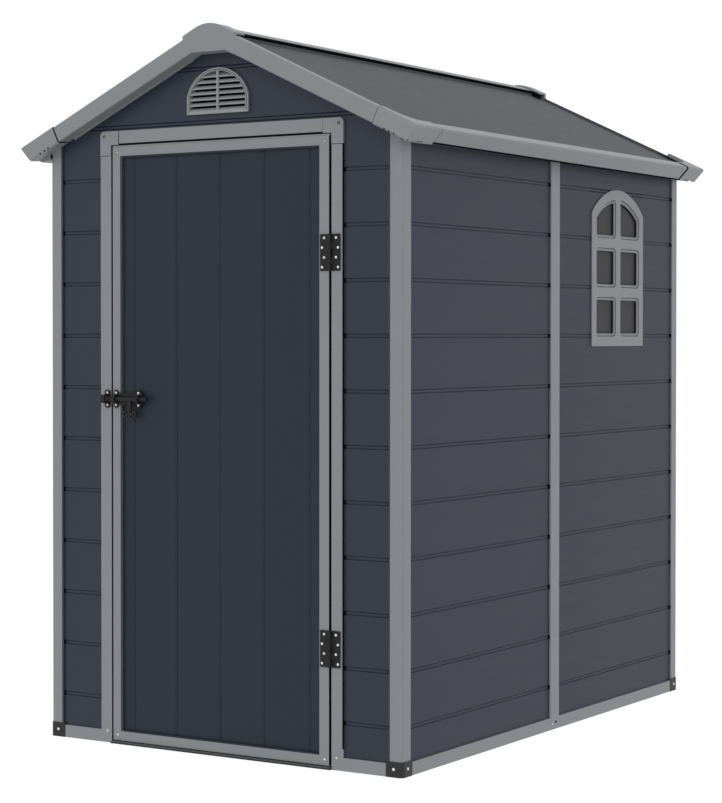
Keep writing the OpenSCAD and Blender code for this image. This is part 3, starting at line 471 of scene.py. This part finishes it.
# Painted shade: dark discs for the screw holes of the door frame and the side rails, and dark
# blocks at the ends of the board joints
dark = Batch()
for sx in (-1, 1):
    spot = (sx * (JAMB_OUT - FRAME_SCREW_IN), FRONT - CORNER_OUT, HEADER_TOP - FRAME_SCREW_DROP)
    shaded_hole(dark, spot, TO_FRONT, SHADED_HOLE_R)
    shaded_hole(dark, (sx * HALF_W, RAIL_HOLE_Y, RAIL_HOLE_Z), (sx, 0, 0), SHADED_HOLE_R)
half = JOINT_H / 2 - END_TRIM
for z in JOINTS:
    for sx in (-1, 1):
        x0, x1 = mirrored(sx, FACE_X - END_IN, FACE_X + END_OUT)
        for y, way in ((-MID_HALF, -1), (POST_Y, -1), (MID_HALF, 1), (-POST_Y, 1)):
            y0, y1 = sorted((y, y + way * END_RUN_SIDE))
            block(dark, (x0, y0, z - half), (x1, y1, z + half))
        for x, way in ((JAMB_OUT, 1), (POST_X, -1)):
            x0, x1 = mirrored(sx, x, x + way * END_RUN_FRONT)
            block(dark, (x0, -FACE_Y - END_OUT, z - half), (x1, -FACE_Y + END_IN, z + half))
        x0, x1 = mirrored(sx, POST_X, POST_X - END_RUN_FRONT)
        block(dark, (x0, FACE_Y - END_IN, z - half), (x1, FACE_Y + END_OUT, z + half))
dark.make("shed_painted_shade", mat_painted_shade, "shed", "base_plastic")

# Fillers that make the two grooves of each board joint shallower, split where the window stands
ends, sides = Batch(), Batch()
for z in JOINTS:
    for low, high in ((z - FILL_HIGH, z - FILL_LOW), (z + FILL_LOW, z + FILL_HIGH)):
        for sx in (-1, 1):
            x0, x1 = mirrored(sx, JAMB_OUT, POST_X)
            block(ends, (x0, -FACE_Y + FILL_OUT, low), (x1, -FACE_Y + FILL_IN, high))
            runs = [(-POST_Y, -MID_HALF), (MID_HALF, POST_Y)]
            if sx > 0 and WIN_LOW < z < WIN_TOP:
                runs[1:] = [(MID_HALF, WIN_Y0), (WIN_Y1, POST_Y)]
            x0, x1 = mirrored(sx, FACE_X - FILL_OUT, FACE_X - FILL_IN)
            for y0, y1 in runs:
                block(sides, (x0, y0, low), (x1, y1, high))
        block(ends, (-POST_X, FACE_Y - FILL_IN, low), (POST_X, FACE_Y - FILL_OUT, high))
ends.make("joint_fillers_ends", mat_boards, "shed", "boards")
# The side fillers take the lighter side copy of the board colour, painted light
sides.make("joint_fillers_sides", mat_boards_side_light, "shed", "boards")

# Plain heads of the screws in the door frame
heads = Batch()
for sx in (-1, 1):
    x = sx * (JAMB_OUT - FRAME_SCREW_IN) + HEAD_SHIFT
    screw(heads, (x, FRONT - CORNER_OUT - HEAD_OUT, HEADER_TOP - HEAD_DROP), TO_FRONT, HEAD_R)
heads.make("frame_screws", mat_trim, "shed", "trim")

# Edges of the door panel, laid over the inner edges of the left stile and the rails
edges = Batch()
inner_x, low_z, top_z = DOOR_X - STILE_W, DOOR_LOW + RAIL_H, DOOR_TOP - RAIL_H
near, far = FRONT - PROUD, FRONT + PANEL_SET
block(edges, (-inner_x - STILE_STRIP, near, low_z - LOW_RAIL_STRIP),
      (-inner_x + PROUD, far, top_z + TOP_RAIL_STRIP))
block(edges, (-inner_x, near, top_z - PROUD), (inner_x, far, top_z + TOP_RAIL_STRIP))
block(edges, (-inner_x, near, low_z - LOW_RAIL_STRIP), (inner_x, far, low_z + PROUD))
edges.make("door_panel_edges", mat_door, "door", "door_boards")

# Low strips over the upright joints of the door panel, darker than the door boards: painted shade
# of the joint grooves
joints = Batch()
for k in UPRIGHTS:
    x = k * UPRIGHT_PITCH
    block(joints, (x - UPRIGHT_STRIP, far - UPRIGHT_PROUD, low_z),
          (x + UPRIGHT_STRIP, far + UPRIGHT_DEEP, top_z))
joints.make("door_joint_shade_strips", mat_door_joint_shade, "door", "door_boards")

# Edges of the front boards, laid over the inner edges of the corner posts
edges = Batch()
for sx in (-1, 1):
    x0, x1 = mirrored(sx, POST_X - PROUD, POST_X + POST_STRIP)
    block(edges, (x0, FRONT - PROUD, BASE_TOP), (x1, FRONT + BOARD_SET, WALL_TOP))
edges.make("front_board_edges", mat_boards, "shed", "boards")

# Painted shade in the gaps round the door: beside the latch, under the header, outside the right
# jamb
gaps = Batch()
block(gaps, (-JAMB_IN, FRONT + LATCH_GAP_SET, GAP_FOOT),
      (-JAMB_IN + LATCH_GAP_W, FRONT + LATCH_GAP_DEEP, LATCH_GAP_TOP))
span = JAMB_OUT - CORNER_RUN
block(gaps, (-span, FRONT - PROUD, HEADER_LOW - PROUD),
      (span, FRONT + HEADER_STRIP_DEEP, HEADER_LOW + HEADER_STRIP))
block(gaps, (JAMB_OUT - JAMB_STRIP, FRONT - PROUD, JAMB_STRIP_LOW),
      (JAMB_OUT + JAMB_PAST, FRONT + JAMB_STRIP_DEEP, HEADER_TOP - CORNER_DROP))
gaps.make("door_frame_gap_shade", mat_painted_shade, "shed", "base_plastic")

# Painted shade along the hinge edge of the door, and a lip along its top edge
gaps = Batch()
block(gaps, (DOOR_X - HINGE_EDGE, FRONT - HINGE_EDGE_PROUD, GAP_FOOT),
      (DOOR_X + HINGE_EDGE_PAST, FRONT + HINGE_EDGE_DEEP, HINGE_EDGE_TOP))
gaps.make("door_edge_gap_shade", mat_painted_shade, "door", "base_plastic")
lip = Batch()
block(lip, (-DOOR_X, FRONT, DOOR_TOP - TOP_LIP_IN),
      (DOOR_X, FRONT + TOP_LIP_DEEP, DOOR_TOP + TOP_LIP_OUT))
lip.make("door_top_lip", mat_trim_flat, "door", "trim")

# Rounded nose along the threshold
nose = Batch()
curve = arc(FRONT - SILL_OUT + SILL_R, SILL_MID, SILL_R, 90, 270, SILL_STEPS)
back = FRONT + SILL_BACK
section = [(back, SILL_MID + SILL_R)] + curve + [(back, SILL_MID - SILL_R)]
reach = (-JAMB_IN + SILL_LEFT, JAMB_IN - SILL_RIGHT)
nose.add(*rings([[(x, y, z) for y, z in section] for x in reach], False))
nose.make("threshold_nose", mat_sill_and_faint_shade, "shed", "base_plastic")


# Window: a half-round bead on the lip of each opening, and a dark ring of painted shade round each
# pane

def window_opening(col, row, g):
    """Outline of a pane opening in Y and Z, drawn in by a margin, the top ones cut by the arch."""
    wide = (WIN_W - (WIN_COLS + 1) * WIN_BAR) / WIN_COLS
    high = (WIN_TOP - WIN_LOW - (WIN_ROWS + 1) * WIN_BAR) / WIN_ROWS
    y0 = WIN_Y0 + WIN_BAR + col * (wide + WIN_BAR) + g
    z0 = WIN_LOW + WIN_BAR + row * (high + WIN_BAR) + g
    y1, z1, r = y0 + wide - 2 * g, z0 + high - 2 * g, WIN_CORNER - g
    low = (arc(y0 + r, z0 + r, r, 180, 270, CORNER_STEPS)
           + arc(y1 - r, z0 + r, r, 270, 360, CORNER_STEPS))
    if row < WIN_ROWS - 1:
        return (low + arc(y1 - r, z1 - r, r, 0, 90, CORNER_STEPS)
                + arc(y0 + r, z1 - r, r, 90, 180, CORNER_STEPS))
    reach, centre = WIN_R - WIN_BAR - g, WIN_TOP - WIN_R
    turns = [math.degrees(math.acos((y - WIN_Y) / reach)) for y in (y1, y0)]
    return low + arc(WIN_Y, centre, reach, turns[0], turns[1], ARCH_STEPS)


BEAD = half_round(wide=0.0035, high=0.0034, deep=0.0008, step=20)
PANE_SHADE = [(0.0, 0.0), (0.0, PANE_SHADE_H), (-PANE_SHADE_W, PANE_SHADE_H), (-PANE_SHADE_W, 0.0)]
lip_plane = Matrix.Translation((WIN_FACE - WIN_STEP_D, 0, 0)) @ RIGHT_WALL
pane_plane = Matrix.Translation((PANE_X, 0, 0)) @ RIGHT_WALL
beads, shade_strips = Batch(), Batch()
for col in range(WIN_COLS):
    for row in range(WIN_ROWS):
        sweep(beads, window_opening(col, row, WIN_STEP_W / 2), BEAD, lip_plane, True)
        sweep(shade_strips, window_opening(col, row, WIN_STEP_W), PANE_SHADE, pane_plane, True)
# The beads take the side copy of the trim colour, painted light for the side wall
beads.make("window_beads", mat_trim_side_light, "shed", "trim")
shade_strips.make("window_pane_shade", mat_painted_shade, "shed", "pane")


# Vents: a bead round the inside of the ring, painted shade in a groove beside it and in the gaps
# under the slats, and knobs on the bar

def vent_line(g):
    """Outline of a vent drawn in by a margin, from the low left round the arch to the low right."""
    half_w, reach, centre = VENT_W / 2 - g, VENT_R - g, VENT_TOP - VENT_R
    turn = math.degrees(math.acos(half_w / reach))
    arch = arc(0, centre, reach, turn, 180 - turn, VENT_STEPS)
    return [(half_w, VENT_LOW + g)] + arch + [(-half_w, VENT_LOW + g)]


def vent_reach(z, g):
    """Half width inside a vent at a height."""
    rise = max(0.0, z - (VENT_TOP - VENT_R))
    return min(VENT_W / 2 - g, math.sqrt(max(0.0, (VENT_R - g) ** 2 - rise ** 2)))


RING_BEAD = half_round(wide=0.0017, high=0.0016, deep=0.001, step=30)
GROOVE = [(-GROOVE_HALF, GROOVE_LOW), (GROOVE_HALF, GROOVE_LOW),
          (GROOVE_HALF, GROOVE_HIGH), (-GROOVE_HALF, GROOVE_HIGH)]
slat_pitch = (VENT_TOP - VENT_LOW - 2 * VENT_RIM) / VENT_SLATS
beads, gaps, knobs = Batch(), Batch(), Batch()
for sy, gable in GABLES.items():
    boards = Matrix.Translation((0, sy * FACE_Y, 0)) @ gable
    face = Matrix.Translation((0, sy * (FACE_Y + VENT_OUT), 0)) @ gable
    bar = Matrix.Translation((0, sy * (FACE_Y + VENT_OUT * BAR_SHARE), 0)) @ gable
    sweep(beads, vent_line(VENT_RIM - RING_BEAD_IN), RING_BEAD, face, False)
    sweep(gaps, vent_line(VENT_RIM - GROOVE_IN), GROOVE, face, False)
    for i in range(VENT_SLATS):
        lip_z = VENT_LOW + VENT_RIM + (i - SLAT_DROP) * slat_pitch
        half = vent_reach(lip_z, VENT_RIM) - GAP_SIDE
        if i:
            drop = Vector((0, -SLAT_SHARE * slat_pitch, VENT_OUT * SLAT_SHARE + SLAT_DEEP))
            drop.normalize()
            across = Vector((1, 0, 0))
            slat = axes(across, drop, across.cross(drop), (0, lip_z, -SLAT_DEEP))
            run = GAP_H / abs(drop.y)
            block(gaps, (-half, 0.0, GAP_LOW), (half, run, GAP_HIGH), boards @ slat)
        block(knobs, (-KNOB_HALF, lip_z - KNOB_OVER, -KNOB_DEEP),
              (KNOB_HALF, lip_z + slat_pitch / 4 + KNOB_OVER, KNOB_OUT), bar)
beads.make("vent_beads", mat_vent, "shed", "vent")
gaps.make("vent_gap_shade", mat_painted_shade, "shed", "base_plastic")
knobs.make("vent_knobs", mat_vent, "shed", "vent")


# Roof: painted shade in the seams beside the corner caps and in dark strips under the ridge cap,
# at the peaks, along the inner side of the caps and under the eaves; fillets under the rake trims

def run_of(x):
    return x / math.cos(PITCH)


def rake_line(sy, rise):
    """Outline of a rake trim in Y and height, from the soffit round the face to the lip."""
    core = RAKE_Y - NOSE_R
    line = [(FACE_Y + SOFFIT_START, SOFFIT_LIFT * SOFFIT_SHARE - RAKE_LOW)]
    line += arc(core, NOSE_R - RAKE_LOW, NOSE_R, 270, 360, RAKE_STEPS)
    line += arc(core, rise - NOSE_R, NOSE_R, 0, 90, RAKE_STEPS)
    line.append((LIP_Y, rise))
    return [(sy * y, n) for y, n in line]


def eave_line(sx):
    """Outline of an eave trim in X and Z, from the low edge up the leaning face, round the nose."""
    start, stop = math.degrees(EAVE_LEAN) - 90, math.degrees(math.pi / 2 - PITCH)
    round_nose = arc(NOSE_X, NOSE_Z, NOSE_R, start, stop, EAVE_STEPS)
    line = [(LOW_X - EAVE_FOOT, LOW_Z), (LOW_X, LOW_Z)] + round_nose
    back = Vector((-math.cos(PITCH), math.sin(PITCH))) * EAVE_BACK
    line.append((round_nose[-1][0] + back.x, round_nose[-1][1] + back.y))
    return [(sx * x, z) for x, z in line]


def eave_edge_shade(sx):
    """Thin dark edge along the low side of an eave trim, narrower and deeper towards the rear:
    painted shade under the eave.
    """
    up = Vector((math.cos(EAVE_LEAN), math.sin(EAVE_LEAN)))
    out = Vector((math.sin(EAVE_LEAN), -math.cos(EAVE_LEAN))) * EDGE_OUT
    low = Vector((LOW_X, LOW_Z))
    rows = []
    for y, run, drop in zip(EAVE_SEAMS, EDGE_RUNS, EDGE_DROPS):
        section = [low + Vector((-EDGE_BACK, -drop)), low + out + Vector((0, -drop)),
                   low + up * run + out, low + up * run - out, low + Vector((-EDGE_BACK, EDGE_OUT))]
        rows.append([(sx * p.x, y, p.y) for p in section])
    return rings(rows, False)


def band(batch, line, out, low, high, matrix):
    """Strip over a flat outline, of a height and let in, between two stations along local Z."""
    sunk = math.copysign(LET_IN, -out)
    section = [(line[i], side_way(line, i, False)) for i in range(len(line))]
    outer = [(p[0] + w.x * out, p[1] + w.y * out) for p, w in section]
    inner = [(p[0] + w.x * sunk, p[1] + w.y * sunk) for p, w in section]
    for i in range(len(line) - 1):
        quad = [outer[i], outer[i + 1], inner[i + 1], inner[i]]
        batch.add(*rings([[(x, y, z) for x, y in quad] for z in (low, high)], False), matrix)


# A seam is a low strip beside the cap and a thin one up the end of the cap, painted shade: dark on
# all but one cap, paler on that one
LEVEL_PLANE = axes((1, 0, 0), (0, 0, 1), (0, 1, 0), (0, 0, 0))
ALONG_SLOPE = axes((0, 1, 0), (0, 0, 1), (1, 0, 0), (0, 0, 0))
CAP_SHADE = ((0.0, 0.0), (CAP_SHADE_W, 0.0), (CAP_SHADE_W, CAP_SHADE_H), (0.0, CAP_SHADE_H))
seams, shade_strips, fillets, faint = Batch(), Batch(), Batch(), Batch()
for sx, slope in SLOPES.items():
    along = slope @ ALONG_SLOPE
    for sy, rise in ((-1, TRIM_RISE), (1, REAR_RISE)):
        line = rake_line(sy, rise)
        batch = faint if (sx, sy) == (1, -1) else seams
        band(batch, line, sy * STRIP_OUT, SEAM_RUN - RAKE_STRIP, SEAM_RUN, along)
        band(batch, line, sy * WALL_OUT, SEAM_RUN, SEAM_RUN + SEAM_GAP, along)
    line = eave_line(sx)
    for y, way in zip(EAVE_SEAMS, (1, -1)):
        band(seams, line, sx * STRIP_OUT, *sorted((y, y + way * EAVE_STRIP)), LEVEL_PLANE)
        band(seams, line, sx * WALL_OUT, *sorted((y, y - way * SEAM_GAP)), LEVEL_PLANE)
    block(shade_strips, (run_of(RIDGE_SHADE_X0), -PANEL_END + SHADE_END, 0.0),
          (run_of(RIDGE_SHADE_X1), PANEL_END - SHADE_END, RIDGE_SHADE_H), slope)
    for sy in (-1, 1):
        y0, y1 = mirrored(sy, PEAK_SHADE_Y0, PEAK_SHADE_Y1)
        block(shade_strips, (run_of(PEAK_SHADE_X), y0, 0.0),
              (run_of(PEAK_HALF) - SHADE_END, y1, PEAK_SHADE_H), slope)
        bend = arc(LIP_RUN - CAP_CORNER, LIP_Y - CAP_CORNER, CAP_CORNER, 90, 0, BEND_STEPS)
        path = [(run, sy * y) for run, y in [(SEAM_RUN, LIP_Y)] + bend]
        sweep(shade_strips, path, [(sy * a, n) for a, n in CAP_SHADE], slope, False)
        y0, y1 = mirrored(sy, FACE_Y - FILLET_IN, FACE_Y + FILLET_OUT)
        block(fillets, (run_of(PEAK_HALF + FILLET_PEAK_END), y0, FILLET_LOW),
              (SEAM_RUN - FILLET_CAP_END, y1, FILLET_HIGH), slope)
    shade_strips.add(*eave_edge_shade(sx))
seams.make("cap_seam_shade", mat_painted_shade, "shed", "base_plastic")
shade_strips.make("roof_shade_strips", mat_painted_shade, "shed", "base_plastic")
faint.make("cap_seam_faint_shade", mat_sill_and_faint_shade, "shed", "base_plastic")
fillets.make("rake_fillets", mat_trim_flat, "shed", "trim")

# Pale feet along the rear ribs and under the ridge cap, painted light over shaded faces of the
# roof, and a dark low edge on the cap, painted shade
feet, edge = Batch(), Batch()
for sx, slope in SLOPES.items():
    block(feet, (run_of(PEAK_HALF), RIB_Y - RIB_FOOT_HALF, 0.0),
          (SEAM_RUN - RIB_FOOT_END, RIB_Y + RIB_FOOT_HALF, RIB_FOOT_H), slope)
    block(feet, (run_of(RIDGE_FOOT_X0), -FACE_Y, 0.0),
          (run_of(RIDGE_FOOT_X1), FACE_Y, RIDGE_FOOT_H), slope)
    # Dark strip at the low edge of the ridge cap: painted shade
    x0, x1 = mirrored(sx, RIDGE_EDGE_X, RIDGE_HALF + RIDGE_EDGE_PAST)
    block(edge, (x0, -FACE_Y, RIDGE_LOW - RIDGE_EDGE_DROP), (x1, FACE_Y, RIDGE_LOW + RIDGE_EDGE_H))
feet.make("roof_feet_painted_light", mat_roof_lit, "shed", "roof")
edge.make("ridge_low_edge_shade", mat_painted_shade, "shed", "base_plastic")

# Small holes along the low edges of the corner caps, and one at the top of each corner post, as
# dark discs of painted shade
holes = Batch()
for sx, slope in SLOPES.items():
    for sy in (-1, 1):
        for run in RAKE_HOLES:
            out = Vector((0, RAKE_HOLE_WAY[0] * sy, RAKE_HOLE_WAY[1]))
            low = Vector((run, sy * (RAKE_Y - NOSE_R), NOSE_R - RAKE_LOW))
            spot = slope @ (low + out * (NOSE_R + CAP_OUT))
            shaded_hole(holes, spot, slope.to_3x3() @ out, RAKE_HOLE_R)
        for y in EAVE_HOLES:
            spot = (sx * (LOW_X + EAVE_HOLE_OUT), sy * y, LOW_Z - EAVE_HOLE_DROP)
            shaded_hole(holes, spot, (sx * EAVE_HOLE_WAY[0], 0, EAVE_HOLE_WAY[1]), EAVE_HOLE_R)
        spot = (sx * (HALF_W - POST_HOLE_IN), sy * (HALF_D + POST_HOLE_OUT), POST_HOLE_Z)
        shaded_hole(holes, spot, (sx * POST_HOLE_WAY[0], sy * POST_HOLE_WAY[1], 0), POST_HOLE_R)
holes.make("cap_hole_shade", mat_painted_shade, "shed", "base_plastic")

# Fine seams round the corner pieces of the door frame, as dark strips of painted shade
fine = Batch()
near, far = FRONT - FRAME_SEAM_PROUD, FRONT + FRAME_SEAM_DEEP
for sx in (-1, 1):
    x0, x1 = mirrored(sx, JAMB_OUT - CORNER_RUN - FRAME_SEAM_W, JAMB_OUT - CORNER_RUN)
    block(fine, (x0, near, HEADER_LOW), (x1, far, HEADER_TOP))
    x0, x1 = mirrored(sx, JAMB_IN, JAMB_OUT)
    low = HEADER_TOP - CORNER_DROP
    block(fine, (x0, near, low - FRAME_SEAM_W), (x1, far, low))
fine.make("frame_seam_shade", mat_painted_shade, "shed", "base_plastic")


# Floor, light and camera

FILL, FLOOR_SHARE, FLOOR_SEEN = 0.77, 0.90, 1.055
FLOOR_GREY, FLOOR_ROUGH, FLOOR_HALF, FLOOR_Z = 0.85, 0.9, 60.0, -0.0004
WHITE = (1.0, 1.0, 1.0, 1.0)
SEEN_RAYS = ("Camera", "Glossy", "Transmission")


def either(tree, *outputs):
    """Node output that is 1 where any of the given outputs is 1."""
    last = outputs[0]
    for other in outputs[1:]:
        node = tree.nodes.new("ShaderNodeMath")
        node.operation = "MAXIMUM"
        tree.links.new(last, node.inputs[0])
        tree.links.new(other, node.inputs[1])
        last = node.outputs[0]
    return last


def seen_ray(tree):
    path = tree.nodes.new("ShaderNodeLightPath")
    return either(tree, *[path.outputs["Is %s Ray" % kind] for kind in SEEN_RAYS])


def stage_floor():
    """White floor that glows as the sky does, with a faint shadow left in it."""
    mat, tree, bsdf = shader_nodes("floor_white")
    link = tree.links.new
    bsdf.inputs["Base Color"].default_value = (FLOOR_GREY, FLOOR_GREY, FLOOR_GREY, 1.0)
    bsdf.inputs["Roughness"].default_value = FLOOR_ROUGH
    bsdf.inputs["Specular IOR Level"].default_value = 0.0
    glow = tree.nodes.new("ShaderNodeEmission")
    glow.inputs["Color"].default_value = WHITE
    level = tree.nodes.new("ShaderNodeMapRange")
    level.inputs["To Min"].default_value = FILL
    level.inputs["To Max"].default_value = FLOOR_SEEN
    link(seen_ray(tree), level.inputs["Value"])
    link(level.outputs["Result"], glow.inputs["Strength"])
    both = tree.nodes.new("ShaderNodeMixShader")
    both.inputs["Fac"].default_value = FLOOR_SHARE
    link(bsdf.outputs[0], both.inputs[1])
    link(glow.outputs[0], both.inputs[2])
    link(both.outputs[0], tree.nodes["Material Output"].inputs["Surface"])
    data = bpy.data.meshes.new("floor")
    s, z = FLOOR_HALF, FLOOR_Z
    data.from_pydata([(-s, -s, z), (s, -s, z), (s, s, z), (-s, s, z)], [], [(0, 1, 2, 3)])
    floor = bpy.data.objects.new("floor", data)
    scene.collection.objects.link(floor)
    paint(floor, mat)


def stage_world():
    """White sky, plain white where it is seen and a little lower where it lights."""
    world = bpy.data.worlds.new("studio")
    scene.world = world
    world.use_nodes = True
    tree = world.node_tree
    sky = tree.nodes["Background"]
    sky.inputs["Color"].default_value = WHITE
    level = tree.nodes.new("ShaderNodeMapRange")
    level.inputs["To Min"].default_value = FILL
    level.inputs["To Max"].default_value = 1.0
    tree.links.new(seen_ray(tree), level.inputs["Value"])
    tree.links.new(level.outputs["Result"], sky.inputs["Strength"])


def stage_lamp(name, direction, energy, angle):
    data = bpy.data.lights.new(name, "SUN")
    data.energy = energy
    data.angle = math.radians(angle)
    lamp = bpy.data.objects.new(name, data)
    lamp.rotation_mode = "QUATERNION"
    lamp.rotation_quaternion = Vector(direction).to_track_quat("-Z", "Y")
    scene.collection.objects.link(lamp)


def stage_camera():
    """Camera solved from the photograph: turn, tilt, place, focal length and centre in pixels."""
    yaw, pitch = 0.5728, 0.0174
    place = (3.6341, -6.0525, 1.1806)
    focal, wide, high, cx, cy = 2249.07, 722, 803, 311.23, 374.72
    sensor = 36.0
    data = bpy.data.cameras.new("camera")
    data.sensor_width = sensor
    data.lens = sensor * focal / high
    data.shift_x = (wide / 2 - cx) / high
    data.shift_y = (cy - high / 2) / high
    data.clip_start, data.clip_end = 0.1, 200.0
    cam = bpy.data.objects.new("camera", data)
    level = math.cos(pitch)
    forward = Vector((-math.sin(yaw) * level, math.cos(yaw) * level, -math.sin(pitch)))
    cam.location = place
    cam.rotation_mode = "QUATERNION"
    cam.rotation_quaternion = forward.to_track_quat("-Z", "Y")
    scene.collection.objects.link(cam)
    scene.camera = cam


stage_floor()
stage_world()
stage_lamp("key", direction=(-0.15, 0.75, -0.62), energy=0.45, angle=25.0)
stage_camera()
